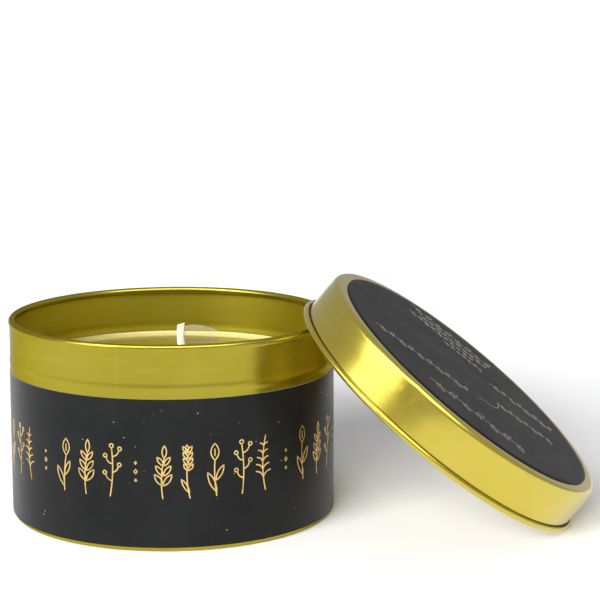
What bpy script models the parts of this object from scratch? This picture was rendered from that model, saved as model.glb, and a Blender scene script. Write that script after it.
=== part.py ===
"""Candle tin: a drawn tin with a slip lid, poured wax and a wick. The lid is off and leans on the rim.

Units are metres and +Z is up. The tin's axis is x = y = 0 and its standing ring is at z = 0.
"""

from math import cos, pi, radians, sin, tau

import bpy

# Facets around every turned shape. Nested shapes share them, so their gaps stay even.
STEPS = 64
WICK_STEPS = 12

# Clearances between pieces that touch on the real object
GAP = 0.0003
LABEL_GAP = 0.0001

# Tinplate of the tin and its lid
SHEET = 0.00025

# Tin body, outside
WALL_RADIUS = 0.0384
TIN_HEIGHT = 0.0473
BASE_CORNER = 0.0011
BASE_RECESS = 0.0006
BASE_PANEL_RADIUS = 0.0318
STANDING_RING_RADIUS = 0.0325
BEAD_HEIGHT = 0.0030
BEAD_CENTRE = 0.0373
BEAD_PROUD = 0.00038
BEAD_POINTS = 6
BEAD_FULLNESS = 0.6  # under 1 flattens the bead's crown and steepens its sides
RIM_ROLL = 0.00085  # outer radius of the rolled rim's section
RIM_PROUD = 0.00028

# Labels
PAPER = 0.00012
BODY_LABEL_BOTTOM = 0.0011
BODY_LABEL_TOP = 0.0351
LID_LABEL_RADIUS = 0.0357

# Lid, in its own frame: z = 0 at the centre of the curl's section
LID_RADIUS = 0.03915
LID_TOP = 0.01045
LID_CORNER = 0.0016
CURL = 0.0007  # outer radius of the curl's section

# How the lid leans: its open edge stands on the floor and crosses the tin's rim
LEAN = radians(38.7)
LEAN_AZIMUTH = radians(-8.0)
LID_AZIMUTH = radians(-9.4)
LID_REACH = 0.0640  # from the tin's axis to the centre of the curl

# Wax
WAX_LEVEL = 0.0346
MENISCUS_RISE = 0.0012
MENISCUS_WIDTH = 0.0016
MENISCUS_POINTS = 3

# Wick, its steel sustainer and the adhesive pad below it
WICK_X = 0.0022
WICK_RADIUS = 0.0010
WICK_TOP = 0.0450
WICK_LEAN = 0.0003
SUSTAINER_RADIUS = 0.0100
SUSTAINER_NECK_RADIUS = 0.0016
SUSTAINER_NECK_HEIGHT = 0.0060
PAD_RADIUS = 0.0095
PAD_THICKNESS = 0.0004

# Levels of the pieces that stand on the base panel
PANEL_TOP = BASE_RECESS + SHEET
PAD_BOTTOM = PANEL_TOP + GAP
SUSTAINER_TOP = PAD_BOTTOM + PAD_THICKNESS + GAP + SHEET
NECK_TOP = SUSTAINER_TOP + SUSTAINER_NECK_HEIGHT


def clear_scene():
    for item in list(bpy.data.objects):
        bpy.data.objects.remove(item, do_unlink=True)


def collection(name):
    group = bpy.data.collections.new(name)
    bpy.context.scene.collection.children.link(group)
    return group


def material(name, colour, roughness, metallic=0.0):
    surface = bpy.data.materials.new(name)
    surface.use_nodes = True
    shader = surface.node_tree.nodes["Principled BSDF"]
    shader.inputs["Base Color"].default_value = (*colour, 1.0)
    shader.inputs["Roughness"].default_value = roughness
    shader.inputs["Metallic"].default_value = metallic
    return surface


def empty(name, group, location, rotation=(0.0, 0.0, 0.0)):
    guide = bpy.data.objects.new(name, None)
    guide.location = location
    guide.rotation_euler = rotation
    guide.empty_display_size = 0.01
    group.objects.link(guide)
    return guide


def arc(centre, radius, start, end, count):
    """Points (r, z) along an arc, by angle in degrees from +r towards +z."""
    points = []
    for i in range(count + 1):
        angle = radians(start + (end - start) * i / count)
        points.append((centre[0] + radius * cos(angle), centre[1] + radius * sin(angle)))
    return points


def turned(name, profile, group, surface, sheet=0.0, closed=False, steps=STEPS):
    """Turns a profile of (r, z) points about Z. An open profile becomes a sheet as thick as sheet."""
    points = [(r, 0.0, z) for r, z in profile]
    edges = [(i, i + 1) for i in range(len(points) - 1)]
    if closed:
        edges.append((len(points) - 1, 0))
    mesh = bpy.data.meshes.new(name)
    mesh.from_pydata(points, edges, [])
    shape = bpy.data.objects.new(name, mesh)
    group.objects.link(shape)
    shape.data.materials.append(surface)
    screw = shape.modifiers.new("Turn", "SCREW")
    screw.axis = "Z"
    screw.angle = tau
    screw.steps = steps
    screw.render_steps = steps
    screw.use_merge_vertices = True
    screw.merge_threshold = 0.00001
    screw.use_smooth_shade = True
    if sheet:
        shell = shape.modifiers.new("Sheet", "SOLIDIFY")
        shell.thickness = sheet
        shell.offset = -1.0
        shell.use_even_offset = True
    return shape


def bead_points():
    """The rounded bead that runs round the tin just above its label, from its top to its bottom."""
    top = BEAD_CENTRE + BEAD_HEIGHT / 2
    points = []
    for i in range(BEAD_POINTS + 1):
        share = i / BEAD_POINTS
        at_end = i in (0, BEAD_POINTS)
        swell = 0.0 if at_end else BEAD_PROUD * sin(share * pi) ** BEAD_FULLNESS
        points.append((WALL_RADIUS + swell, top - BEAD_HEIGHT * share))
    return points


def tin_body(group, gold):
    """One drawn sheet: a rim rolled inwards, a straight wall with a bead, and a recessed base panel."""
    roll_centre = (WALL_RADIUS + RIM_PROUD - RIM_ROLL, TIN_HEIGHT - RIM_ROLL)
    rim = arc(roll_centre, RIM_ROLL, 255, -43, 9)
    corner = arc((WALL_RADIUS - BASE_CORNER, BASE_CORNER), BASE_CORNER, 0, -90, 4)
    panel = [
        (STANDING_RING_RADIUS, 0.0),
        (BASE_PANEL_RADIUS, BASE_RECESS),
        (0.0, BASE_RECESS),
    ]
    return turned("tin_body", rim + bead_points() + corner + panel, group, gold, sheet=SHEET)


def body_label(group, paper):
    radius = WALL_RADIUS + LABEL_GAP + PAPER
    wrap = [(radius, BODY_LABEL_TOP), (radius, BODY_LABEL_BOTTOM)]
    return turned("body_label", wrap, group, paper, sheet=PAPER)


def lid_shell(group, gold, lean):
    """One drawn sheet: a flat top with a rounded corner, a skirt, and an edge curled outwards."""
    corner = arc((LID_RADIUS - LID_CORNER, LID_TOP - LID_CORNER), LID_CORNER, 90, 0, 4)
    curl_centre = (LID_RADIUS - SHEET + CURL, 0.0)
    curl = arc(curl_centre, CURL - SHEET, 180, 455, 8)
    shell = turned("lid_shell", [(0.0, LID_TOP)] + corner + curl, group, gold, sheet=SHEET)
    shell.parent = lean
    return shell


def lid_label(group, paper, lean):
    top = LID_TOP + LABEL_GAP + PAPER
    disc = turned("lid_label", [(0.0, top), (LID_LABEL_RADIUS, top)], group, paper, sheet=PAPER)
    disc.parent = lean
    return disc


def cutter_of(profile, cutters, surface, axis):
    cutter = turned("wick_space", profile, cutters, surface, steps=STEPS // 2)
    cutter.parent = axis
    cutter.hide_render = True
    cutter.display_type = "WIRE"
    return cutter


def wax(group, cutters, surface, axis):
    """The poured fill, with a meniscus up the wall and the space that the wick and its sustainer take."""
    edge = WALL_RADIUS - SHEET - GAP
    creep = []
    for i in range(MENISCUS_POINTS + 1):
        share = i / MENISCUS_POINTS
        rise = MENISCUS_RISE * share**2
        creep.append((edge - MENISCUS_WIDTH * (1 - share), WAX_LEVEL + rise))
    bottom = arc((edge - BASE_CORNER, PAD_BOTTOM + BASE_CORNER), BASE_CORNER, 0, -90, 3)
    fill = turned("wax", [(0.0, WAX_LEVEL)] + creep + bottom + [(0.0, PAD_BOTTOM)], group, surface)
    bore = WICK_RADIUS + GAP
    neck = SUSTAINER_NECK_RADIUS + GAP
    disc = SUSTAINER_RADIUS + GAP
    space = [
        (0.0, WICK_TOP),
        (bore, WICK_TOP),
        (bore, NECK_TOP + GAP),
        (neck, NECK_TOP + GAP),
        (neck, SUSTAINER_TOP + GAP),
        (disc, SUSTAINER_TOP + GAP),
        (disc, 0.0),
        (0.0, 0.0),
    ]
    cut = fill.modifiers.new("Wick space", "BOOLEAN")
    cut.operation = "DIFFERENCE"
    cut.solver = "EXACT"
    cut.object = cutter_of(space, cutters, surface, axis)
    return fill


def wick(group, cotton, axis):
    """A braided cotton wick: straight through the wax, then leaning a little towards -X."""
    foot = SUSTAINER_TOP - SHEET
    halfway = (WAX_LEVEL + WICK_TOP) / 2
    route = [
        (0.0, foot),
        (0.0, WAX_LEVEL),
        (-WICK_LEAN / 3, halfway),
        (-WICK_LEAN, WICK_TOP),
    ]
    curve = bpy.data.curves.new("wick", "CURVE")
    curve.dimensions = "3D"
    curve.bevel_depth = WICK_RADIUS
    curve.bevel_resolution = WICK_STEPS // 4
    curve.use_fill_caps = True
    line = curve.splines.new("POLY")
    line.points.add(len(route) - 1)
    for point, (x, z) in zip(line.points, route):
        point.co = (x, 0.0, z, 1.0)
    braid = bpy.data.objects.new("wick", curve)
    braid.parent = axis
    curve.materials.append(cotton)
    group.objects.link(braid)
    return braid


def wick_sustainer(group, steel, axis):
    """A stamped steel disc with a short neck that grips the wick's foot."""
    flare = 2 * SHEET
    path = [
        (SUSTAINER_NECK_RADIUS, NECK_TOP),
        (SUSTAINER_NECK_RADIUS, SUSTAINER_TOP + flare),
        (SUSTAINER_NECK_RADIUS + flare, SUSTAINER_TOP),
        (SUSTAINER_RADIUS, SUSTAINER_TOP),
    ]
    plate = turned("wick_sustainer", path, group, steel, sheet=SHEET, steps=STEPS // 2)
    plate.parent = axis
    return plate


def wick_adhesive_pad(group, foam, axis):
    top = PAD_BOTTOM + PAD_THICKNESS
    disc = [(0.0, top), (PAD_RADIUS, top), (PAD_RADIUS, PAD_BOTTOM), (0.0, PAD_BOTTOM)]
    pad = turned("wick_adhesive_pad", disc, group, foam, steps=STEPS // 2)
    pad.parent = axis
    return pad


def build():
    clear_scene()
    parts = collection("candle_tin")
    cutters = collection("cutters")
    gold = material("gold_lacquer", (0.56, 0.47, 0.10), 0.30, metallic=1.0)
    black = material("black_paper", (0.030, 0.030, 0.032), 0.55)
    cream = material("wax", (0.90, 0.84, 0.62), 0.35)
    cotton = material("wick_cotton", (0.86, 0.82, 0.72), 0.90)
    steel = material("sustainer_steel", (0.60, 0.60, 0.58), 0.35, metallic=1.0)
    foam = material("adhesive_foam", (0.80, 0.80, 0.78), 0.80)

    wick_axis = empty("wick_axis", parts, (WICK_X, 0.0, 0.0))
    # The curl's outermost circle, which is what stands on the floor
    curl_circle = LID_RADIUS - SHEET + CURL
    lid_place = (
        LID_REACH * cos(LID_AZIMUTH),
        LID_REACH * sin(LID_AZIMUTH),
        curl_circle * sin(LEAN) + CURL,
    )
    lid_lean = empty("lid_lean", parts, lid_place, (0.0, LEAN, LEAN_AZIMUTH))

    tin_body(parts, gold)
    body_label(parts, black)
    wax(parts, cutters, cream, wick_axis)
    wick(parts, cotton, wick_axis)
    wick_sustainer(parts, steel, wick_axis)
    wick_adhesive_pad(parts, foam, wick_axis)
    lid_shell(parts, gold, lid_lean)
    lid_label(parts, black, lid_lean)


build()
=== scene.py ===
"""Looks of the candle tin: gold-lacquered tinplate, wax, a wick and black labels, its lid on its rim.

Units are metres and +Z is up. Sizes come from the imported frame, apart from the fine detail named below.
"""

import random
from math import cos, exp, hypot, pi, radians, sin, sqrt, tau

import bpy
import numpy as np
from mathutils import Matrix, Vector


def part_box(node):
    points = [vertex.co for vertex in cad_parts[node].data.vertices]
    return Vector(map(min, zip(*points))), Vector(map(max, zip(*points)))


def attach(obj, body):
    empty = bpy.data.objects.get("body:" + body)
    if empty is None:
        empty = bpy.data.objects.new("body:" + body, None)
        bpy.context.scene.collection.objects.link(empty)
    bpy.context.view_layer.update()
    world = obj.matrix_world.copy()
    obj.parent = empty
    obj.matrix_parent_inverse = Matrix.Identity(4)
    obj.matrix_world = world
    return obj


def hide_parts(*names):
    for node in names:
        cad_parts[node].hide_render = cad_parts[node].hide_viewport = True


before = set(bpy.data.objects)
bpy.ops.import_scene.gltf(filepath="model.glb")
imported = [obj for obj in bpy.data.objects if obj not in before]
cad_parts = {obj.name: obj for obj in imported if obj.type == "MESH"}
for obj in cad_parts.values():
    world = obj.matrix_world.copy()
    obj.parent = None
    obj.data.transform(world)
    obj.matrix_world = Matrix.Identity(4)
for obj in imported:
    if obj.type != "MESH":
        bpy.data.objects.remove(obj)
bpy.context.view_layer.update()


def rgb(r, g, b):
    return (r, g, b, 1.0)


# Fineness of the turned shapes
STEPS = 256
LID_STEPS = 512

# Tinplate and its shaping
SHEET = 0.00025
BASE_CORNER = 0.0011
BASE_RECESS = 0.0006
BASE_PANEL_RADIUS = 0.0318
STANDING_RING_RADIUS = 0.0325
BEAD_HEIGHT = 0.0030
BEAD_ABOVE_LABEL = 0.0022
BEAD_SHARE = 0.38  # of the way that the tin's widest circle stands out from its wall
BEAD_POINTS = 28
RIM_ROLL = 0.00085
RIM_PROUD = 0.00023
LID_CORNER = 0.0014
LID_SHOULDER = 0.00020
LID_SHOULDER_FROM = 0.0060
LID_SHOULDER_SLOPE = 6  # degrees off the skirt, where the corner begins
CURL = 0.0007
SKIRT_FOOT = CURL + 0.0006
BLEND = 0.0002  # from the end of a curve to the first point on the wall beside it

# Paper and print
PAPER = 0.00012
PAPER_ON_TIN = 0.00002
SEAM_OVERLAP = 0.008
SEAM_RAMP = 0.0016
SEAM_RISE = PAPER + PAPER_ON_TIN
FOIL_THICKNESS = 0.00002
LID_LABEL_EDGE = (0.00005, 0.00003)  # width and height of its softened corner
BODY_STROKE = 0.00029
LID_STROKE = 0.00022
MOTIF_COUNT = 40
MOTIF_HEIGHT = 0.0128
MOTIF_FOOT = 0.0112  # above the label's lower edge
SPECKLES = 60
LID_SPECKLES = 24

BODY_PRINT_SEED = 11
LID_PRINT_SEED = 5
SEAM_ANGLE = radians(90)  # at the back
# Rows of print on the lid label: start and end (down the slope, across it) and height
LID_ROWS = (
    ((-0.020, 0.0270), (0.005, 0.0285), 0.0034),
    ((-0.017, 0.0238), (0.004, 0.0250), 0.0024),
    ((-0.020, 0.0205), (0.000, 0.0215), 0.0022),
    ((-0.009, 0.0176), (0.003, 0.0184), 0.0018),
    ((0.006, 0.0130), (0.025, 0.0160), 0.0028),
    ((0.009, 0.0000), (0.025, 0.0050), 0.0028),
    ((-0.0255, -0.0160), (0.001, -0.0094), 0.0030),
    ((-0.009, -0.0250), (0.018, -0.0214), 0.0042),
)
# One bowed line between the rows: start, end and bow
LID_FLOURISH = ((0.004, -0.007), (0.009, 0.001), -0.30)

# Handling dents in the lid's skirt: angle round it, height, width and depth
LID_DENTS = (
    (radians(-105), 0.0090, 0.0026, 0.00024),
    (radians(-108), 0.0084, 0.0010, -0.00008),
    (radians(-103), 0.0076, 0.0009, -0.00007),
    (radians(-100), 0.0072, 0.0034, 0.00010),
    (radians(140), 0.0060, 0.0040, 0.00008),
    (radians(35), 0.0080, 0.0026, 0.00009),
)

# Rings pressed into the base panel: radius, width and height
BASE_RINGS = ((0.0262, 0.0008, 0.00022), (0.0150, 0.0008, 0.00018))

# Wax and wick
WAX_CREEP = 0.0012  # how far the meniscus climbs
WAX_TO_TIN = 0.00002
MENISCUS_WIDTH = 0.0022
FILM_START = radians(91)
FILM_END = radians(75)
FILM_HEIGHT = 0.0021
FILM_ABOVE_WAX = 0.0007
FILM_THICKNESS = 0.00012
WAX_FROST_AND_LIGHT = (0.0360, 0.0370)  # radii between which the wax turns pale, partly frost and partly painted light where the meniscus meets the tin
WAX_RIPPLES = (0.00005, 0.00004)  # heights of the ripples round the wick and across the fill
WAX_STEPS = 144
WAX_GAP = 0.0003  # between the wax and the sustainer's hidden faces
FERRULE_CLEARANCE = 0.0019
WICK_COLLAR = (0.0011, 0.0009)  # height and width of the wax drawn up the wick
WICK_RADIUS = 0.0010
WICK_CORE = WICK_RADIUS * 0.9
WICK_FLATNESS = 0.9  # its thickness over its width
STRANDS = 3  # each way round
STRAND_RELIEF = 0.00010
BRAID_PITCH = 0.0056
FRAY = 0.00006
WICK_LEVELS = 300
WICK_SIDES = 60
WICK_TIP_SLANT = 0.00030

# Colours, linear
# The tin's outside, its inside and the lid share one gold lacquer. Their base colours differ only as
# painted light and shade: darkened on the tin's outside, brightened inside it and brightened more on the
# lid.
TIN_SHADED_GOLD = (rgb(0.425, 0.358, 0.036), rgb(0.40, 0.334, 0.029))
TIN_EDGE = rgb(0.52, 0.47, 0.27)
INSIDE_LIT_GOLD = (rgb(0.60, 0.505, 0.045), rgb(0.565, 0.47, 0.036))
LID_LIT_GOLD = (rgb(0.65, 0.525, 0.058), rgb(0.62, 0.495, 0.048))
LID_EDGE = rgb(0.90, 0.88, 0.78)
GOLD_WORN = rgb(0.80, 0.70, 0.30)
GOLD_FOIL = (rgb(0.93, 0.66, 0.25), rgb(0.50, 0.34, 0.12))
# The lid's print is the same foil as the wrap's, made paler: a painted sheen for the glint it shows seen
# at a slant.
LID_SHEEN_FOIL = (rgb(0.62, 0.58, 0.48), rgb(0.30, 0.28, 0.22))
CUT_PAPER = (rgb(0.30, 0.28, 0.24), rgb(0.52, 0.50, 0.44))
INK = rgb(0.0040, 0.0042, 0.0042)
INK_LIGHT = rgb(0.0060, 0.0063, 0.0063)
PAPER_DUST = rgb(0.06, 0.06, 0.058)
# Wax colours: the dark olive of its middle is painted shade and a painted reflection of the gold walls;
# the paler colour by the wall is partly frost and partly painted light.
WAX_SHADED_OLIVE = rgb(0.140, 0.117, 0.009)
WAX_PALE = rgb(0.43, 0.365, 0.14)
FILM_GREYS = (rgb(0.14, 0.115, 0.05), rgb(0.18, 0.155, 0.08))
COTTON = (rgb(0.46, 0.42, 0.28), rgb(0.54, 0.50, 0.35))
STEEL = (rgb(0.52, 0.52, 0.50), rgb(0.68, 0.68, 0.66))
FOAM = (rgb(0.62, 0.61, 0.58), rgb(0.82, 0.81, 0.78))
STUDIO_GREY = (rgb(0.79, 0.79, 0.79), rgb(0.81, 0.81, 0.81))

# Lacquer: roughness and weight of its clear coat
TIN_FINISH = (0.27, 0.12)
INSIDE_FINISH = (0.46, 0.0)
LID_FINISH = (0.24, 0.80)
# Label film: specular level and roughness
WRAP_FINISH = (0.16, 0.28)
DISC_FINISH = (0.26, 0.46)

# Camera
CAMERA_PLACE = (0.030537, -0.476657, 0.135592)
CAMERA_PITCH = 10.11  # degrees below level
FOCAL_LENGTH = 121.96
SENSOR_WIDTH = 36.0

# Lights, by azimuth and elevation in degrees: 0 is on the camera's side and 90 on its left
KEY_AZIMUTHS = (6, 24, 42)
KEY_ELEVATION = 18
KEY_SPREAD = 22
KEY_STRENGTH = 3.3
# Softboxes: azimuth, elevation, width, height and brightness
SOFTBOXES = {
    "side_softbox": (57, 34, 0.74, 0.95, 2.7),
    "top_softbox": (0, 58, 1.9, 0.80, 3.4),
}
SOFTBOX_DISTANCE = 1.2
SOFTBOX_TARGET = Vector((0.05, 0.0, 0.025))

FLOOR_SIZE = 50.0

# Studio dome: elevations between which it dims, and its brightness below and above them
DOME_LOW = 28
DOME_HIGH = 65
HORIZON = 0.45
ZENITH = 0.42


# ---------------------------------------------------------------- sizes from the frame

def node_points(name):
    return np.array([v.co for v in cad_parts[name].data.vertices])


def leaning_frame():
    """The lid's own frame: z along its axis, x down its slope, origin level with its curl's lower edge."""
    disc = node_points("lid_label")
    shell = node_points("lid_shell")
    axis = np.linalg.svd(disc - disc.mean(axis=0))[2][2]
    if axis[2] < 0:
        axis = -axis
    centre = (disc.min(axis=0) + disc.max(axis=0)) / 2
    side = np.cross(axis, (0.0, 0.0, 1.0))
    side /= np.linalg.norm(side)
    slope = np.cross(side, axis)
    if slope[2] > 0:
        slope, side = -slope, -side
    side = np.cross(axis, slope)
    lowest = ((shell - centre) @ axis).min()
    origin = centre + axis * lowest
    matrix = Matrix.Identity(4)
    for row in range(3):
        matrix[row][0] = slope[row]
        matrix[row][1] = side[row]
        matrix[row][2] = axis[row]
        matrix[row][3] = origin[row]
    return matrix


def reach_in_lid_frame(name):
    """A lid node's outermost radius and its highest point, in the lid's own frame."""
    turn = LID_FRAME.to_3x3()
    shift = turn.transposed() @ LID_FRAME.translation
    local = node_points(name) @ np.array(turn) - np.array(shift)
    radius = np.linalg.norm(local[:, :2], axis=1).max()
    return radius, local[:, 2].max()


_, TIN_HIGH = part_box("tin_body")
LABEL_LOW, LABEL_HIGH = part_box("body_label")
WAX_LOW, WAX_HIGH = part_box("wax")
WICK_LOW, WICK_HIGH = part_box("wick")
FOOT_LOW, FOOT_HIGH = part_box("wick_sustainer")
LID_FRAME = leaning_frame()
CURL_RADIUS, LID_TOP = reach_in_lid_frame("lid_shell")
LID_LABEL_RADIUS, LID_LABEL_TOP = reach_in_lid_frame("lid_label")

LABEL_RADIUS = LABEL_HIGH.x
WALL_RADIUS = LABEL_RADIUS - PAPER - PAPER_ON_TIN
TIN_HEIGHT = TIN_HIGH.z
BEAD_CENTRE = LABEL_HIGH.z + BEAD_ABOVE_LABEL
BEAD_PROUD = (TIN_HIGH.x - WALL_RADIUS) * BEAD_SHARE
SKIRT_RADIUS = CURL_RADIUS - 2 * CURL + SHEET
WICK_X = (FOOT_LOW.x + FOOT_HIGH.x) / 2
WAX_RADIUS = WALL_RADIUS - SHEET - WAX_TO_TIN
WAX_LEVEL = WAX_HIGH.z - WAX_CREEP


# ---------------------------------------------------------------- mesh helpers

def mesh_object(name, points, faces, material, smooth_angle=40):
    mesh = bpy.data.meshes.new(name)
    mesh.from_pydata([tuple(p) for p in points], [], faces)
    mesh.validate()
    mesh.update()
    mesh.shade_smooth()
    mesh.set_sharp_from_angle(angle=radians(smooth_angle))
    shape = bpy.data.objects.new(name, mesh)
    bpy.context.scene.collection.objects.link(shape)
    mesh.materials.append(material)
    return shape


def tilted(shape):
    """Moves a mesh modelled in the lid's own frame to where the lid leans."""
    shape.data.transform(LID_FRAME)
    return shape


def arc(centre, radius, start, end, count):
    """Points (r, z) along an arc, by angle in degrees from +r towards +z."""
    points = []
    for i in range(count + 1):
        angle = radians(start + (end - start) * i / count)
        points.append((centre[0] + radius * cos(angle), centre[1] + radius * sin(angle)))
    return points


def offset(path, distance):
    """The path moved sideways by distance, to the right of its direction of travel."""
    path = np.array(path)
    moved = []
    for i, point in enumerate(path):
        before = path[i] - path[i - 1] if i > 0 else path[i + 1] - path[i]
        after = path[i + 1] - path[i] if i < len(path) - 1 else before
        before = before / np.linalg.norm(before)
        after = after / np.linalg.norm(after)
        way = before + after
        way = way / np.linalg.norm(way)
        stretch = distance / max(0.4, float(way @ before))
        place = point + np.array((way[1], -way[0])) * stretch
        if point[0] < 1e-9:
            place = point + np.array((0.0, np.sign(-way[0]) * distance))
        moved.append(tuple(place))
    return moved


def sheet_profile(path, thickness):
    """A closed outline round a sheet whose outer face follows path, which runs down the outside."""
    return list(path) + list(reversed(offset(path, thickness)))


def lathe(name, profile, material, steps=STEPS, closed=True, shape=None):
    """Turns an outline of (r, z) points about Z. shape, if given, moves the point at (r, angle, z)."""
    points = []
    rings = []
    for r, z in profile:
        if r < 1e-9:
            rings.append([len(points)] * steps)
            points.append((0.0, 0.0, z))
            continue
        rings.append(list(range(len(points), len(points) + steps)))
        for k in range(steps):
            angle = tau * k / steps
            radius, height = shape(r, angle, z) if shape else (r, z)
            points.append((radius * cos(angle), radius * sin(angle), height))
    pairs = [(i, i + 1) for i in range(len(profile) - 1)]
    if closed:
        pairs.append((len(profile) - 1, 0))
    faces = []
    for i, j in pairs:
        for k in range(steps):
            after = (k + 1) % steps
            corners = [rings[i][k], rings[j][k], rings[j][after], rings[i][after]]
            corners = list(dict.fromkeys(corners))
            if len(corners) > 2:
                faces.append(corners)
    return mesh_object(name, points, faces, material)


# ---------------------------------------------------------------- material helpers

# Places of the colour sockets on Blender's Mix node
MIX_SHARE, MIX_FIRST, MIX_SECOND, MIX_COLOUR = 0, 6, 7, 2


class Surface:
    """A Principled material with short calls for the procedural nodes that feed it.

    Its textures lie in the object's own coordinates, or in those of axes, a piece's leaning frame.
    """

    def __init__(self, name, axes=None):
        self.material = bpy.data.materials.new(name)
        self.material.use_nodes = True
        self.tree = self.material.node_tree
        self.shader = self.tree.nodes["Principled BSDF"]
        self.place = self.node("ShaderNodeTexCoord").outputs["Object"]
        if axes is not None:
            inverse = axes.inverted()
            turned = self.node("ShaderNodeMapping", Vector=self.place)
            turned.inputs["Location"].default_value = inverse.translation
            turned.inputs["Rotation"].default_value = inverse.to_euler()
            self.place = turned.outputs["Vector"]

    def node(self, kind, **inputs):
        made = self.tree.nodes.new(kind)
        for name, value in inputs.items():
            self.feed(made.inputs[name.replace("_", " ")], value)
        return made

    def feed(self, socket, value):
        if isinstance(value, bpy.types.NodeSocket):
            self.tree.links.new(value, socket)
        else:
            socket.default_value = value

    def set(self, **inputs):
        for name, value in inputs.items():
            self.feed(self.shader.inputs[name.replace("_", " ")], value)

    def stretched(self, scale):
        mapping = self.node("ShaderNodeMapping", Vector=self.place)
        mapping.inputs["Scale"].default_value = scale
        return mapping.outputs["Vector"]

    def noise(self, scale, detail=3.0, rough=0.5, vector=None):
        made = self.node("ShaderNodeTexNoise", Vector=vector or self.place)
        made.inputs["Scale"].default_value = scale
        made.inputs["Detail"].default_value = detail
        made.inputs["Roughness"].default_value = rough
        return made.outputs["Fac"]

    def remap(self, value, low, high, new_low, new_high):
        made = self.node("ShaderNodeMapRange", Value=value)
        made.inputs["From Min"].default_value = low
        made.inputs["From Max"].default_value = high
        made.inputs["To Min"].default_value = new_low
        made.inputs["To Max"].default_value = new_high
        return made.outputs["Result"]

    def mix(self, share, first, second):
        made = self.tree.nodes.new("ShaderNodeMix")
        made.data_type = "RGBA"
        self.feed(made.inputs[MIX_SHARE], share)
        self.feed(made.inputs[MIX_FIRST], first)
        self.feed(made.inputs[MIX_SECOND], second)
        return made.outputs[MIX_COLOUR]

    def add(self, first, second):
        made = self.node("ShaderNodeMath")
        made.operation = "ADD"
        self.feed(made.inputs[0], first)
        self.feed(made.inputs[1], second)
        return made.outputs[0]

    def times(self, first, second):
        made = self.node("ShaderNodeMath")
        made.operation = "MULTIPLY"
        self.feed(made.inputs[0], first)
        self.feed(made.inputs[1], second)
        return made.outputs[0]

    def bump(self, height, distance, under=None):
        made = self.node("ShaderNodeBump", Height=height)
        made.inputs["Distance"].default_value = distance
        if under is not None:
            self.feed(made.inputs["Normal"], under)
        return made.outputs["Normal"]


# ---------------------------------------------------------------- materials

def scratches(surface, scale, low, high):
    """Fine lines: noise stretched along one axis, of which only the crest shows."""
    crest = surface.noise(1.0, detail=2.0, vector=surface.stretched(scale))
    return surface.remap(crest, low, high, 0.0, 1.0)


def gold_lacquer(name, colours, edge, finish, axes=None):
    """Gold lacquer over drawn tinplate: satin, with faint rubbed streaks and soft cloudiness."""
    surface = Surface(name, axes)
    cloud = surface.noise(55.0, detail=2.0)
    rub = scratches(surface, (50.0, 50.0, 520.0), 0.58, 0.80)
    wipe = scratches(surface, (420.0, 60.0, 60.0), 0.60, 0.82)
    bright, deep = colours
    roughness, coat = finish
    tone = surface.mix(surface.remap(cloud, 0.35, 0.65, 0.0, 1.0), deep, bright)
    surface.set(
        Base_Color=surface.mix(surface.times(surface.add(rub, wipe), 0.10), tone, GOLD_WORN),
        Metallic=1.0,
        Roughness=roughness,
        Specular_Tint=edge,
        Coat_Weight=coat,
        Coat_Roughness=0.18,
        Normal=surface.bump(surface.noise(40.0, detail=1.0), 0.00008),
    )
    return surface.material


def foil(name, colours, roughness):
    """Hot-stamped metal foil, patchy where the paper's tooth shows through."""
    surface = Surface(name)
    tooth = surface.noise(5200.0, detail=3.0)
    patch = surface.noise(420.0, detail=2.0)
    average = surface.times(surface.add(tooth, patch), 0.5)
    wear = surface.remap(average, 0.50, 0.66, 0.0, 1.0)
    surface.set(
        Base_Color=surface.mix(wear, *colours),
        Metallic=1.0,
        Roughness=surface.remap(tooth, 0.3, 0.7, roughness - 0.06, roughness + 0.1),
        Normal=surface.bump(tooth, 0.000004),
    )
    return surface.material


def black_paper(name, finish, axes=None):
    """Black printed paper with a satin film: fibre tooth, soft mottling, handling marks and dust."""
    surface = Surface(name, axes)
    gloss_level, roughness = finish
    fibre = surface.noise(3400.0, detail=4.0, rough=0.6)
    mottle = surface.noise(90.0, detail=3.0)
    marks = scratches(surface, (2600.0, 240.0, 420.0), 0.68, 0.76)
    ink = surface.mix(surface.remap(mottle, 0.3, 0.7, 0.0, 1.0), INK, INK_LIGHT)
    dusty = surface.mix(surface.times(marks, 0.22), ink, PAPER_DUST)
    gloss = surface.remap(mottle, 0.3, 0.7, roughness - 0.04, roughness + 0.05)
    surface.set(
        Base_Color=dusty,
        Roughness=surface.add(gloss, surface.times(fibre, 0.06)),
        Specular_IOR_Level=gloss_level,
        Normal=surface.bump(fibre, 0.000006, under=surface.bump(mottle, 0.00004)),
    )
    return surface.material


def paper_edge():
    surface = Surface("paper_edge")
    fibre = surface.noise(4200.0, detail=4.0)
    surface.set(
        Base_Color=surface.mix(fibre, *CUT_PAPER),
        Roughness=0.85,
        Normal=surface.bump(fibre, 0.00001),
    )
    return surface.material


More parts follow.
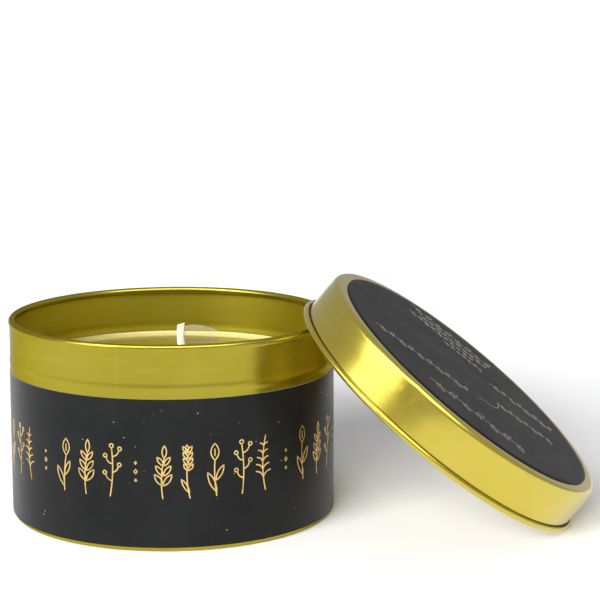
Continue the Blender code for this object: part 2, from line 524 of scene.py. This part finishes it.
def candle_wax():
    """Poured plant wax: glossy where it set flat, dark olive in its middle from painted shade and a
    painted gold reflection, and paler where it meets the tin, partly frost and partly painted light.
    """
    surface = Surface("candle_wax")
    cloud = surface.noise(70.0, detail=3.0)
    frost = surface.noise(520.0, detail=4.0)
    distance = surface.node("ShaderNodeVectorMath", Vector=surface.stretched((1.0, 1.0, 0.0)))
    distance.operation = "LENGTH"
    # Paler towards the wall, partly frost and partly painted light on the meniscus; the dark middle is
    # painted shade.
    rim = surface.remap(distance.outputs["Value"], *WAX_FROST_AND_LIGHT, 0.0, 1.0)
    bloom = surface.remap(cloud, 0.4, 0.7, 0.0, 1.0)
    pale = surface.add(surface.times(rim, 0.90), surface.times(bloom, 0.10))
    surface.set(
        Base_Color=surface.mix(pale, WAX_SHADED_OLIVE, WAX_PALE),
        Roughness=surface.remap(frost, 0.3, 0.7, 0.13, 0.20),
        Subsurface_Weight=0.2,
        Subsurface_Scale=0.004,
        IOR=1.44,
        Normal=surface.bump(frost, 0.000002, under=surface.bump(cloud, 0.00010)),
    )
    surface.shader.inputs["Subsurface Radius"].default_value = (1.0, 0.75, 0.35)
    return surface.material


def grey_film_finish():
    """A greyish film through which the gold shows a little."""
    surface = Surface("grey_film_finish")
    cloud = surface.noise(900.0, detail=4.0)
    surface.set(
        Base_Color=surface.mix(surface.remap(cloud, 0.35, 0.65, 0.0, 1.0), *FILM_GREYS),
        Roughness=0.42,
        Normal=surface.bump(cloud, 0.000004),
    )
    return surface.material


def wick_cotton():
    """Waxed braided cotton: yarn fibre along the strands under a thin skin of wax."""
    surface = Surface("wick_cotton")
    fibre = surface.noise(1.0, detail=4.0, vector=surface.stretched((9000.0, 9000.0, 1500.0)))
    wash = surface.noise(700.0, detail=2.0)
    surface.set(
        Base_Color=surface.mix(surface.remap(wash, 0.3, 0.7, 0.0, 1.0), *COTTON),
        Roughness=surface.remap(fibre, 0.3, 0.7, 0.5, 0.8),
        Subsurface_Weight=0.25,
        Subsurface_Scale=0.0012,
        Sheen_Weight=0.2,
        Normal=surface.bump(fibre, 0.00003),
    )
    return surface.material


def sustainer_steel():
    """Tin-plated steel, brushed by the strip mill along one direction."""
    surface = Surface("sustainer_steel")
    brushed = surface.noise(1.0, detail=3.0, vector=surface.stretched((300.0, 12000.0, 300.0)))
    cloud = surface.noise(260.0, detail=2.0)
    surface.set(
        Base_Color=surface.mix(surface.remap(cloud, 0.3, 0.7, 0.0, 1.0), *STEEL),
        Metallic=1.0,
        Roughness=surface.remap(brushed, 0.3, 0.7, 0.25, 0.42),
        Normal=surface.bump(brushed, 0.000006),
    )
    return surface.material


def adhesive_foam():
    """White closed-cell foam tape."""
    surface = Surface("adhesive_foam")
    cells = surface.node("ShaderNodeTexVoronoi", Vector=surface.place)
    cells.inputs["Scale"].default_value = 5200.0
    cell = cells.outputs["Distance"]
    surface.set(
        Base_Color=surface.mix(cell, *FOAM),
        Roughness=0.85,
        Normal=surface.bump(cell, 0.00005),
    )
    return surface.material


# ---------------------------------------------------------------- tin and lid

def tin_body(outside, inside):
    """One drawn sheet: a rim rolled inwards, a straight wall with a bead, and a recessed base panel."""
    roll = (WALL_RADIUS + RIM_PROUD - RIM_ROLL, TIN_HEIGHT - RIM_ROLL)
    rim = arc(roll, RIM_ROLL, 285, -36, 30)
    neck_top = TIN_HEIGHT - 2 * RIM_ROLL
    wall = [(WALL_RADIUS, neck_top - BLEND)]
    base_corner = arc((WALL_RADIUS - BASE_CORNER, BASE_CORNER), BASE_CORNER, 0, -84, 10)
    step = (STANDING_RING_RADIUS - BASE_PANEL_RADIUS) / 2
    ring = [
        (STANDING_RING_RADIUS + step, 0.0),
        (STANDING_RING_RADIUS, 0.00004),
        (STANDING_RING_RADIUS - step, BASE_RECESS / 2),
        (BASE_PANEL_RADIUS, BASE_RECESS - 0.00004),
        (BASE_PANEL_RADIUS - step, BASE_RECESS),
    ]
    panel = [(r, BASE_RECESS + panel_relief(r)) for r in spaced(BASE_PANEL_RADIUS - 2 * step, 0.0, 60)]
    path = rim + wall + bead() + base_corner + ring + panel
    shape = lathe("tin_body_sheet", sheet_profile(path, SHEET), outside)
    shape.data.materials.append(inside)
    # The inner wall gets the brighter inside gold: painted light inside the tin.
    for face in shape.data.polygons:
        x, y, z = face.center
        if hypot(x, y) < WALL_RADIUS - SHEET / 2 and BASE_CORNER < z < neck_top:
            face.material_index = 1
    return shape


def spaced(first, last, count):
    return [first + (last - first) * i / count for i in range(count + 1)]


def bead():
    """The soft bead above the label, with a rounded crest that fades into the wall on both sides."""
    points = []
    top = BEAD_CENTRE + BEAD_HEIGHT / 2
    for i in range(BEAD_POINTS):
        share = (i + 0.5) / BEAD_POINTS
        swell = BEAD_PROUD * sin(pi * share) ** 2
        points.append((WALL_RADIUS + swell, top - BEAD_HEIGHT * share))
    return points


def panel_relief(r):
    """Two shallow stiffening rings pressed up into the base panel."""
    lift = 0.0
    for radius, width, height in BASE_RINGS:
        lift += height * exp(-(((r - radius) / width) ** 2))
    return lift


def lid_shell(material):
    """One drawn sheet: a flat top with a rounded corner, a skirt, and an edge curled outwards."""
    inset = shoulder(LID_TOP - LID_CORNER)
    corner_centre = (SKIRT_RADIUS - inset - LID_CORNER, LID_TOP - LID_CORNER)
    flat = [(r, LID_TOP) for r in spaced(0.0, corner_centre[0], 24)]
    corner = arc(corner_centre, LID_CORNER, 87, LID_SHOULDER_SLOPE, 18)
    heights = spaced(LID_TOP - LID_CORNER - BLEND, SKIRT_FOOT, 22)
    skirt = [(SKIRT_RADIUS - shoulder(z), z) for z in heights]
    curl = arc((SKIRT_RADIUS - SHEET + CURL, CURL), CURL - SHEET, 180, 455, 26)
    profile = sheet_profile(flat[:-1] + corner + skirt + curl, SHEET)
    return tilted(lathe("lid_shell_sheet", profile, material, LID_STEPS, shape=dented))


def shoulder(z):
    """How far the skirt draws in towards the lid's corner."""
    rise = max(0.0, z - LID_SHOULDER_FROM) / (LID_TOP - LID_CORNER - LID_SHOULDER_FROM)
    return LID_SHOULDER * rise * rise


def dented(r, angle, z):
    """Small handling dents in the lid's skirt and corner, pushed in a fraction of a millimetre."""
    share = min(1.0, max(0.0, (r - SKIRT_RADIUS + LID_CORNER) / LID_CORNER))
    push = 0.0
    for place, height, width, depth in LID_DENTS:
        along = (angle - place + pi) % tau - pi
        spread = (along * SKIRT_RADIUS / width) ** 2 + ((z - height) / width) ** 2
        push += depth * exp(-spread)
    return r - push * share, z


# ---------------------------------------------------------------- labels

def body_label(paper, edge):
    """The paper wrap, one turn and a little more: its end is glued over its start at the back."""
    turn = tau + SEAM_OVERLAP / LABEL_RADIUS
    count = STEPS + 8
    inner = WALL_RADIUS + PAPER_ON_TIN
    low, high = LABEL_LOW.z, LABEL_HIGH.z
    points, faces, tags = [], [], []
    for k in range(count + 1):
        angle = SEAM_ANGLE + turn * k / count
        radius = inner
        if k > count / 2:
            radius += seam_lift(angle)
        for r, z in ((radius, low), (radius, high), (radius + PAPER, high), (radius + PAPER, low)):
            points.append((r * cos(angle), r * sin(angle), z))
    for k in range(count):
        for side in range(4):
            i, j = 4 * k + side, 4 * k + (side + 1) % 4
            faces.append((i, j, j + 4, i + 4))
            tags.append(side)
    faces.append((3, 2, 1, 0))
    last = 4 * count
    faces.append((last, last + 1, last + 2, last + 3))
    tags += [1, 1]
    shape = mesh_object("body_label_paper", points, faces, paper)
    shape.data.materials.append(edge)
    for face, tag in zip(shape.data.polygons, tags):
        face.material_index = 1 if tag in (1, 3) else 0
    return shape


def lid_label(paper):
    """The paper disc on the lid, with a soft cut edge."""
    edge_width, edge_height = LID_LABEL_EDGE
    bottom = LID_LABEL_TOP - PAPER
    outer = [(LID_LABEL_RADIUS, LID_LABEL_TOP - edge_height), (LID_LABEL_RADIUS, bottom)]
    top = [(r, LID_LABEL_TOP) for r in spaced(0.0, LID_LABEL_RADIUS - edge_width, 24)]
    return tilted(lathe("lid_label_paper", top + outer + [(0.0, bottom)], paper, closed=False))


def ribbon(points, width, place, mesh, closed=False):
    """Adds one flat printed stroke, a closed strip along points (u, v), to mesh = (points, faces)."""
    verts, faces = mesh
    path = np.array(points)
    if closed:
        around = np.vstack([path[-1:], path, path[:1]])
        way = around[2:] - around[:-2]
    else:
        way = np.gradient(path, axis=0)
    way /= np.linalg.norm(way, axis=1)[:, None]
    across = np.stack([-way[:, 1], way[:, 0]], axis=1) * width / 2
    first = len(verts)
    for spot, side in zip(path, across):
        for sign, high in ((1, 0), (-1, 0), (-1, 1), (1, 1)):
            u, v = spot + sign * side
            verts.append(place(u, v, FOIL_THICKNESS * high))
    count = len(path)
    for k in range(count if closed else count - 1):
        here, there = first + 4 * k, first + 4 * ((k + 1) % count)
        for side in range(4):
            after = (side + 1) % 4
            faces.append((here + side, here + after, there + after, there + side))
    if not closed:
        end = first + 4 * (count - 1)
        faces.append((first + 3, first + 2, first + 1, first))
        faces.append((end, end + 1, end + 2, end + 3))


def bowed(start, end, bow, count=9):
    """A curved stroke between two points, standing off its chord by bow times the chord's length."""
    start, end = np.array(start), np.array(end)
    chord = end - start
    out = np.array((-chord[1], chord[0])) * bow
    return [tuple(start + chord * t + out * 4 * t * (1 - t)) for t in spaced(0.0, 1.0, count)]


def leaf(base, tip, width):
    """A leaf's outline, from base round its tip and back."""
    there = bowed(base, tip, width)
    back = bowed(tip, base, width)
    return there + back[1:-1]


def ring(centre, radius, count=14):
    turns = [tau * i / count for i in range(count)]
    return [(centre[0] + radius * cos(turn), centre[1] + radius * sin(turn)) for turn in turns]


def sprig(height, lean):
    """A stem with pairs of pointed leaves. Strokes are (points, closed), in metres, rooted at (0, 0)."""
    strokes = [(bowed((0, 0), (lean, height * 0.76), 0.05, 14), False)]
    for i, share in enumerate((0.26, 0.46, 0.66)):
        reach = height * (0.25 - 0.03 * i)
        root = (lean * share, height * share * 0.94)
        for side in (-1, 1):
            tip = (root[0] + side * reach * 0.64, root[1] + reach * 0.86)
            strokes.append((leaf(root, tip, 0.17), True))
    strokes.append((leaf((lean, height * 0.76), (lean * 1.2, height), 0.17), True))
    return strokes


def berry_twig(height, lean):
    """A stem with alternate side twigs, each ending in a small open berry."""
    strokes = [(bowed((0, 0), (lean, height * 0.92), -0.04, 14), False)]
    strokes.append((ring((lean, height * 0.96), height * 0.036), True))
    for i, share in enumerate((0.30, 0.46, 0.62, 0.76)):
        side = 1 if i % 2 else -1
        root = (lean * share + height * 0.03, height * share)
        end = (root[0] + side * height * 0.12, root[1] + height * 0.12)
        strokes.append((bowed(root, end, -0.18 * side), False))
        berry = (end[0] + side * height * 0.02, end[1] + height * 0.03)
        strokes.append((ring(berry, height * 0.034), True))
    return strokes


def grass_ear(height, lean):
    """An ear of grass: a long bare stem under paired kernels, with one low leaf."""
    strokes = [(bowed((0, 0), (lean, height * 0.62), 0.04, 14), False)]
    for i in range(4):
        share = 0.52 + 0.11 * i
        root = (lean * share, height * share)
        for side in (-1, 1):
            tip = (root[0] + side * height * 0.085, root[1] + height * 0.12)
            strokes.append((leaf(root, tip, 0.20), True))
    strokes.append((leaf((lean * 0.95, height * 0.86), (lean, height), 0.20), True))
    low = (lean * 0.15, height * 0.10)
    strokes.append((leaf(low, (low[0] - height * 0.15, low[1] + height * 0.26), 0.11), True))
    return strokes


def fern(height, lean):
    """A frond: a curved rib with short leaflets that shrink towards its tip."""
    strokes = [(bowed((0, 0), (lean, height), 0.06, 16), False)]
    for i in range(5):
        share = 0.24 + 0.14 * i
        length = height * 0.19 * (1 - 0.7 * share)
        sag = -0.06 * 4 * share * (1 - share) * height
        root = (lean * share + sag, height * share)
        for side in (-1, 1):
            tip = (root[0] + side * length, root[1] + length * 0.75)
            strokes.append((bowed(root, tip, 0.16 * side), False))
    return strokes


def bud(height, lean):
    """A flower bud with a line up its middle, on a stem with a long leaf and a shorter one."""
    strokes = [(bowed((0, 0), (lean, height * 0.70), 0.03, 14), False)]
    strokes.append((leaf((lean, height * 0.68), (lean, height), 0.24), True))
    strokes.append((bowed((lean, height * 0.76), (lean, height * 0.90), 0.0, 6), False))
    strokes.append((leaf((0, height * 0.08), (-height * 0.17, height * 0.46), 0.12), True))
    strokes.append((leaf((lean * 0.3, height * 0.30), (height * 0.14, height * 0.58), 0.14), True))
    return strokes


def dots(height, lean):
    """Three small lozenges, one above another, which never lean."""
    strokes = []
    for share, half in ((0.34, 0.026), (0.50, 0.042), (0.66, 0.026)):
        middle, reach = height * share, height * half
        side = reach * 0.7
        corners = [(0, middle - reach), (side, middle), (0, middle + reach), (-side, middle)]
        strokes.append((corners, True))
    return strokes


BAND = (sprig, grass_ear, bud, berry_twig, fern, dots, bud, sprig, berry_twig, dots)


def flecks(count, rng, low, high, span, place, mesh):
    """Small stray specks of foil: flat six-sided chips."""
    verts, faces = mesh
    for _ in range(count):
        u, v = rng.uniform(0.0, span), rng.uniform(low, high)
        radius = rng.choice((0.00007, 0.00009, 0.00014))
        first = len(verts)
        for level in (0.0, FOIL_THICKNESS):
            for k in range(6):
                reach = radius * rng.uniform(0.7, 1.2)
                verts.append(place(u + reach * cos(tau * k / 6), v + reach * sin(tau * k / 6), level))
        faces.append(tuple(first + k for k in reversed(range(6))))
        faces.append(tuple(first + 6 + k for k in range(6)))
        for k in range(6):
            after = (k + 1) % 6
            faces.append((first + k, first + after, first + 6 + after, first + 6 + k))


def on_wall(u, v, high):
    """A spot on the body label: u along its circumference, v above the floor."""
    angle = u / LABEL_RADIUS
    radius = LABEL_RADIUS + seam_lift(angle) + high
    return (radius * cos(angle), radius * sin(angle), v)


def seam_lift(angle):
    """How far the wrap's outer face stands out where its end lies over its start."""
    past = (angle - SEAM_ANGLE) % tau
    overlap = SEAM_OVERLAP / LABEL_RADIUS
    ramp = SEAM_RAMP / LABEL_RADIUS
    share = 1.0 if past < overlap + 1e-6 else max(0.0, (past - tau + ramp) / ramp)
    return SEAM_RISE * share * share * (3 - 2 * share)


def on_lid(u, v, high):
    """A spot on the lid label, in the lid's own frame: u down its slope, v across it."""
    return (u, v, LID_LABEL_TOP + high)


def body_print(material):
    """A band of plants in thin gold line all round the label, with stray specks."""
    rng = random.Random(BODY_PRINT_SEED)
    mesh = ([], [])
    around = tau * LABEL_RADIUS
    for i in range(MOTIF_COUNT):
        motif = BAND[i % len(BAND)]
        middle = around * i / MOTIF_COUNT
        tall = MOTIF_HEIGHT * rng.uniform(0.94, 1.0)
        foot = LABEL_LOW.z + MOTIF_FOOT + rng.uniform(0.0, 0.0006)
        lean = rng.uniform(-0.0007, 0.0007)
        for points, closed in motif(tall, lean):
            moved = [(middle + u, foot + v) for u, v in points]
            ribbon(moved, BODY_STROKE, on_wall, mesh, closed)
    flecks(SPECKLES, rng, LABEL_LOW.z + 0.001, LABEL_HIGH.z - 0.001, around, on_wall, mesh)
    return mesh_object("body_label_print", *mesh, material)


def vine(start, end, height, rng, mesh):
    """A printed line of small leaves along a wavy stem from start to end, on the lid label."""
    start, end = np.array(start), np.array(end)
    length = np.linalg.norm(end - start)
    along = (end - start) / length
    up = np.array((-along[1], along[0]))
    count = max(2, round(length / (height * 0.9)))

    def spot(u, v):
        return tuple(start + along * u + up * v)

    stem = []
    for u in spaced(0.0, length, count * 6):
        stem.append(spot(u, height * 0.12 * sin(u / length * count * pi)))
    ribbon(stem, LID_STROKE, on_lid, mesh)
    for i in range(count):
        u = length * (i + 0.5) / count
        side = 1 if i % 2 else -1
        reach = height * rng.uniform(0.48, 0.62)
        outline = leaf((u, 0.0), (u + reach * 0.9, side * reach), 0.22)
        ribbon([spot(*p) for p in outline], LID_STROKE, on_lid, mesh, closed=True)
        back = bowed((u, 0.0), (u + reach * 0.5, -side * reach * 0.7), 0.2 * side)
        ribbon([spot(*p) for p in back], LID_STROKE, on_lid, mesh)


def lid_print(material):
    """Rows of small leaves on the lid's label, in the places where it is printed."""
    rng = random.Random(LID_PRINT_SEED)
    mesh = ([], [])
    for start, end, height in LID_ROWS:
        vine(start, end, height, rng, mesh)
    ribbon(bowed(*LID_FLOURISH, 14), LID_STROKE, on_lid, mesh)
    span = LID_LABEL_RADIUS * 0.6
    flecks(LID_SPECKLES, rng, -span, span, span, on_lid, mesh)
    return tilted(mesh_object("lid_label_print", *mesh, material))


# ---------------------------------------------------------------- wax and wick

def wax(material):
    """The poured fill: rings from the wick out to the wall, down it and back in under the fill."""
    bore = WICK_CORE
    disc = FOOT_HIGH.x - WICK_X + WAX_GAP
    corner = BASE_CORNER
    floor = WAX_LOW.z
    ledge = FOOT_LOW.z + (FOOT_HIGH.z - FOOT_LOW.z) * 0.06 + 0.0006
    top = [("top", share) for share in spaced(0.0, 1.0, 20)]
    top += [("rim", share) for share in spaced(0.08, 1.0, 12)]
    wall = [("wall", share) for share in spaced(0.15, 1.0, 6)]
    bend = [("bend", share) for share in spaced(0.0, 1.0, 6)]
    under = [("under", share) for share in spaced(0.1, 1.0, 6)]
    shaft = [("cavity", 0.0), ("neck", 0.0), ("shaft", 0.0), ("shaft", 0.5)]
    rings = top + wall + bend + under + shaft
    points = []
    for part, share in rings:
        for k in range(WAX_STEPS):
            angle = tau * k / WAX_STEPS
            reach = wall_distance(angle, WAX_RADIUS)
            flat = reach - MENISCUS_WIDTH
            if part == "top":
                r = bore + (flat - bore) * share
                z = wax_height(r, angle, reach)
            elif part == "rim":
                r = flat + MENISCUS_WIDTH * sin(share * pi / 2)
                z = wax_height(r, angle, reach)
            elif part == "wall":
                r = reach
                z = WAX_HIGH.z + (floor + corner - WAX_HIGH.z) * share
            elif part == "bend":
                r = reach - corner * (1 - cos(share * pi / 2))
                z = floor + corner * (1 - sin(share * pi / 2))
            elif part == "under":
                r = reach - corner + (disc - reach + corner) * share
                z = floor
            elif part == "cavity":
                r, z = disc, ledge
            elif part == "neck":
                r, z = FERRULE_CLEARANCE, ledge
            else:
                r, z = (FERRULE_CLEARANCE if share == 0.0 else bore), FOOT_HIGH.z + WAX_GAP
            points.append((WICK_X + r * cos(angle), r * sin(angle), z))
    faces = []
    count = len(rings)
    for i in range(count):
        j = (i + 1) % count
        for k in range(WAX_STEPS):
            after = (k + 1) % WAX_STEPS
            here, there = i * WAX_STEPS, j * WAX_STEPS
            faces.append((here + k, there + k, there + after, here + after))
    return mesh_object("wax_fill", points, faces, material)


def grey_wall_patch(material):
    """A greyish patch on the back wall just above the fill, as a thin lens that hugs the wall."""
    columns, rows = 36, 8
    points, faces = [], []
    for depth in (0.0, FILM_THICKNESS):
        for i in range(columns + 1):
            share = i / columns
            angle = FILM_START + (FILM_END - FILM_START) * share
            swell = sin(pi * share ** 0.7) ** 0.6 if 0 < i < columns else 0.0
            for j in range(rows + 1):
                part = j / rows
                z = WAX_LEVEL + FILM_ABOVE_WAX + FILM_HEIGHT * (0.04 + 0.96 * swell) * part
                thin = depth * (0.15 + 0.85 * swell * sin(pi * (0.15 + 0.85 * part)))
                radius = WAX_RADIUS - thin
                points.append((radius * cos(angle), radius * sin(angle), z))
    sheet = (columns + 1) * (rows + 1)
    for i in range(columns):
        for j in range(rows):
            a, b = i * (rows + 1) + j, (i + 1) * (rows + 1) + j
            faces.append((a, a + 1, b + 1, b))
            faces.append((sheet + a, sheet + b, sheet + b + 1, sheet + a + 1))
    edge = [i * (rows + 1) for i in range(columns + 1)]
    edge += [columns * (rows + 1) + j for j in range(1, rows + 1)]
    edge += [i * (rows + 1) + rows for i in reversed(range(columns))]
    edge += [j for j in reversed(range(1, rows))]
    for k, here in enumerate(edge):
        after = edge[(k + 1) % len(edge)]
        faces.append((here, after, sheet + after, sheet + here))
    return mesh_object("grey_wall_patch", points, faces, material)


def wall_distance(angle, radius):
    """From the wick's axis to the tin's wall, in the direction of angle."""
    along = -WICK_X * cos(angle)
    return along + sqrt(radius**2 - (WICK_X * sin(angle)) ** 2)


def wax_height(r, angle, reach):
    """The set surface: faint ripples, a meniscus up the wall and a smaller one up the wick."""
    to_wall = reach - r
    climb = WAX_CREEP * exp(-to_wall / (MENISCUS_WIDTH * 0.33)) * (0.86 + 0.14 * sin(angle - 0.2))
    collar_height, collar_width = WICK_COLLAR
    collar = collar_height * exp(-(r - WICK_CORE) / collar_width)
    around, across = WAX_RIPPLES
    ripple = around * sin(r * 900 + 2 * sin(angle)) + across * sin(5 * angle + r * 300)
    ripple *= min(1.0, to_wall / MENISCUS_WIDTH)
    return min(WAX_HIGH.z, WAX_LEVEL + climb + collar + ripple)


def wick(material):
    """A cotton braid: strands wind both ways over a round core, and the tip is cut at a slant."""
    points = []
    high = WICK_HIGH.z - WICK_TIP_SLANT
    low = WICK_LOW.z
    lean = (WICK_HIGH.x + WICK_LOW.x) / 2 - WICK_X
    for level in spaced(0.0, 1.0, WICK_LEVELS):
        z = low + (high - low) * level
        above = max(0.0, (z - WAX_LEVEL) / (high - WAX_LEVEL))
        for k in range(WICK_SIDES):
            angle = tau * k / WICK_SIDES
            points.append(wick_point(angle, z, above, 1.0, lean))
    for share in (0.8, 0.5, 0.2):
        for k in range(WICK_SIDES):
            points.append(wick_point(tau * k / WICK_SIDES, high, 1.0, share, lean))
    rows = len(points) // WICK_SIDES
    faces = []
    for i in range(rows - 1):
        for k in range(WICK_SIDES):
            after = (k + 1) % WICK_SIDES
            low_row, high_row = i * WICK_SIDES, (i + 1) * WICK_SIDES
            faces.append((low_row + k, low_row + after, high_row + after, high_row + k))
    faces.append(tuple(reversed(range(WICK_SIDES))))
    faces.append(tuple((rows - 1) * WICK_SIDES + k for k in range(WICK_SIDES)))
    return mesh_object("wick_braid", points, faces, material, smooth_angle=60)


def wick_point(angle, z, above, share, lean):
    """A point at share of the way out from the wick's axis. above is 0 at the wax and 1 at the tip."""
    turn = tau * z / BRAID_PITCH
    right = cos(STRANDS * angle - turn)
    left = cos(STRANDS * angle + turn)
    relief = max(right, left)
    radius = (WICK_CORE + STRAND_RELIEF * relief) * share
    x = radius * cos(angle)
    y = radius * sin(angle) * WICK_FLATNESS
    slant = WICK_TIP_SLANT * (x / WICK_RADIUS) * above**6
    fray = FRAY * sin(9 * angle + 40 * share) * above**6
    return (WICK_X + x + lean * above**1.5, y, z + slant + fray)


# ---------------------------------------------------------------- studio

def camera():
    data = bpy.data.cameras.new("camera")
    data.lens = FOCAL_LENGTH
    data.sensor_width = SENSOR_WIDTH
    data.clip_start = 0.01
    data.clip_end = 60.0
    eye = bpy.data.objects.new("camera", data)
    eye.location = CAMERA_PLACE
    eye.rotation_euler = (radians(90 - CAMERA_PITCH), 0.0, 0.0)
    bpy.context.scene.collection.objects.link(eye)
    bpy.context.scene.camera = eye


def floor():
    surface = Surface("studio_floor")
    tone = surface.noise(6.0, detail=1.0)
    surface.set(
        Base_Color=surface.mix(tone, *STUDIO_GREY),
        Roughness=1.0,
        Specular_IOR_Level=0.0,
    )
    half = FLOOR_SIZE / 2
    corners = [(-half, -half, 0), (half, -half, 0), (half, half, 0), (-half, half, 0)]
    ground = mesh_object("studio_floor", corners, [(0, 1, 2, 3)], surface.material)


def towards(azimuth, elevation):
    """The direction of a light."""
    a, e = radians(azimuth), radians(elevation)
    return Vector((-sin(a) * cos(e), -cos(a) * cos(e), sin(e)))


def key_light(azimuth):
    """One of the large diffusers side by side, far enough away to light the whole floor evenly."""
    data = bpy.data.lights.new("key_light", "SUN")
    data.angle = radians(KEY_SPREAD)
    data.energy = KEY_STRENGTH
    lamp = bpy.data.objects.new("key_light", data)
    lamp.visible_glossy = False
    lamp.rotation_mode = "QUATERNION"
    lamp.rotation_quaternion = (-towards(azimuth, KEY_ELEVATION)).to_track_quat("-Z", "Y")
    bpy.context.scene.collection.objects.link(lamp)


def softbox(name, azimuth, elevation, width, height, radiance):
    """A softbox that faces the tin, for its reflection only."""
    data = bpy.data.lights.new(name, "AREA")
    data.shape = "RECTANGLE"
    data.size = width
    data.size_y = height
    data.energy = radiance * pi * width * height
    lamp = bpy.data.objects.new(name, data)
    way = towards(azimuth, elevation)
    lamp.location = SOFTBOX_TARGET + way * SOFTBOX_DISTANCE
    lamp.rotation_mode = "QUATERNION"
    lamp.rotation_quaternion = (-way).to_track_quat("-Z", "Y")
    lamp.visible_camera = False
    lamp.visible_diffuse = False
    bpy.context.scene.collection.objects.link(lamp)


def sky():
    """A soft white dome, nearly even from the horizon to overhead."""
    world = bpy.data.worlds.new("studio")
    world.use_nodes = True
    bpy.context.scene.world = world
    nodes, links = world.node_tree.nodes, world.node_tree.links
    place = nodes.new("ShaderNodeTexCoord")
    split = nodes.new("ShaderNodeSeparateXYZ")
    ramp = nodes.new("ShaderNodeMapRange")
    ramp.interpolation_type = "SMOOTHSTEP"
    ramp.inputs["From Min"].default_value = sin(radians(DOME_LOW))
    ramp.inputs["From Max"].default_value = sin(radians(DOME_HIGH))
    ramp.inputs["To Min"].default_value = HORIZON
    ramp.inputs["To Max"].default_value = ZENITH
    links.new(place.outputs["Generated"], split.inputs[0])
    links.new(split.outputs["Z"], ramp.inputs["Value"])
    links.new(ramp.outputs["Result"], nodes["Background"].inputs["Strength"])
    nodes["Background"].inputs["Color"].default_value = rgb(1.0, 1.0, 1.0)
    bpy.context.scene.view_settings.view_transform = "Standard"


# ---------------------------------------------------------------- assembly

def place_piece(shape, body, slot, *nodes):
    """Puts a piece on its body, in place of the CAD nodes named. Its slot is not used."""
    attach(shape, body)
    if nodes:
        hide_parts(*nodes)


def dress(node, material):
    """Gives a CAD part that stays as it is, hidden inside the candle, its finished material."""
    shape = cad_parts[node]
    for i in range(len(shape.material_slots)):
        shape.material_slots[i].link = "OBJECT"
        shape.material_slots[i].material = material


camera()
floor()
sky()
for azimuth in KEY_AZIMUTHS:
    key_light(azimuth)
for name, settings in SOFTBOXES.items():
    softbox(name, *settings)

paper_core = paper_edge()
gold_foil = foil("gold_foil", GOLD_FOIL, 0.34)
# The lid's foil: the gold foil made paler, a painted sheen.
lid_sheen_foil = foil("lid_sheen_foil", LID_SHEEN_FOIL, 0.40)

# Three copies of one gold lacquer, darkened and brightened as painted shade and light.
tin_gold = gold_lacquer("tin_gold", TIN_SHADED_GOLD, TIN_EDGE, TIN_FINISH)
tin_gold_inside = gold_lacquer("tin_gold_inside", INSIDE_LIT_GOLD, TIN_EDGE, INSIDE_FINISH)
lid_gold = gold_lacquer("lid_gold", LID_LIT_GOLD, LID_EDGE, LID_FINISH, LID_FRAME)
wrap_paper = black_paper("wrap_paper", WRAP_FINISH)
disc_paper = black_paper("disc_paper", DISC_FINISH, LID_FRAME)
place_piece(tin_body(tin_gold, tin_gold_inside), "tin", "gold_lacquer", "tin_body")
place_piece(body_label(wrap_paper, paper_core), "tin", "black_label", "body_label")
place_piece(body_print(gold_foil), "tin", "gold_lacquer")
place_piece(wax(candle_wax()), "tin", "candle_wax", "wax")
place_piece(grey_wall_patch(grey_film_finish()), "tin", "candle_wax")
place_piece(wick(wick_cotton()), "tin", "wick_cotton", "wick")
place_piece(lid_shell(lid_gold), "lid", "gold_lacquer", "lid_shell")
place_piece(lid_label(disc_paper), "lid", "black_label", "lid_label")
place_piece(lid_print(lid_sheen_foil), "lid", "gold_lacquer")
dress("wick_sustainer", sustainer_steel())
dress("wick_adhesive_pad", adhesive_foam())
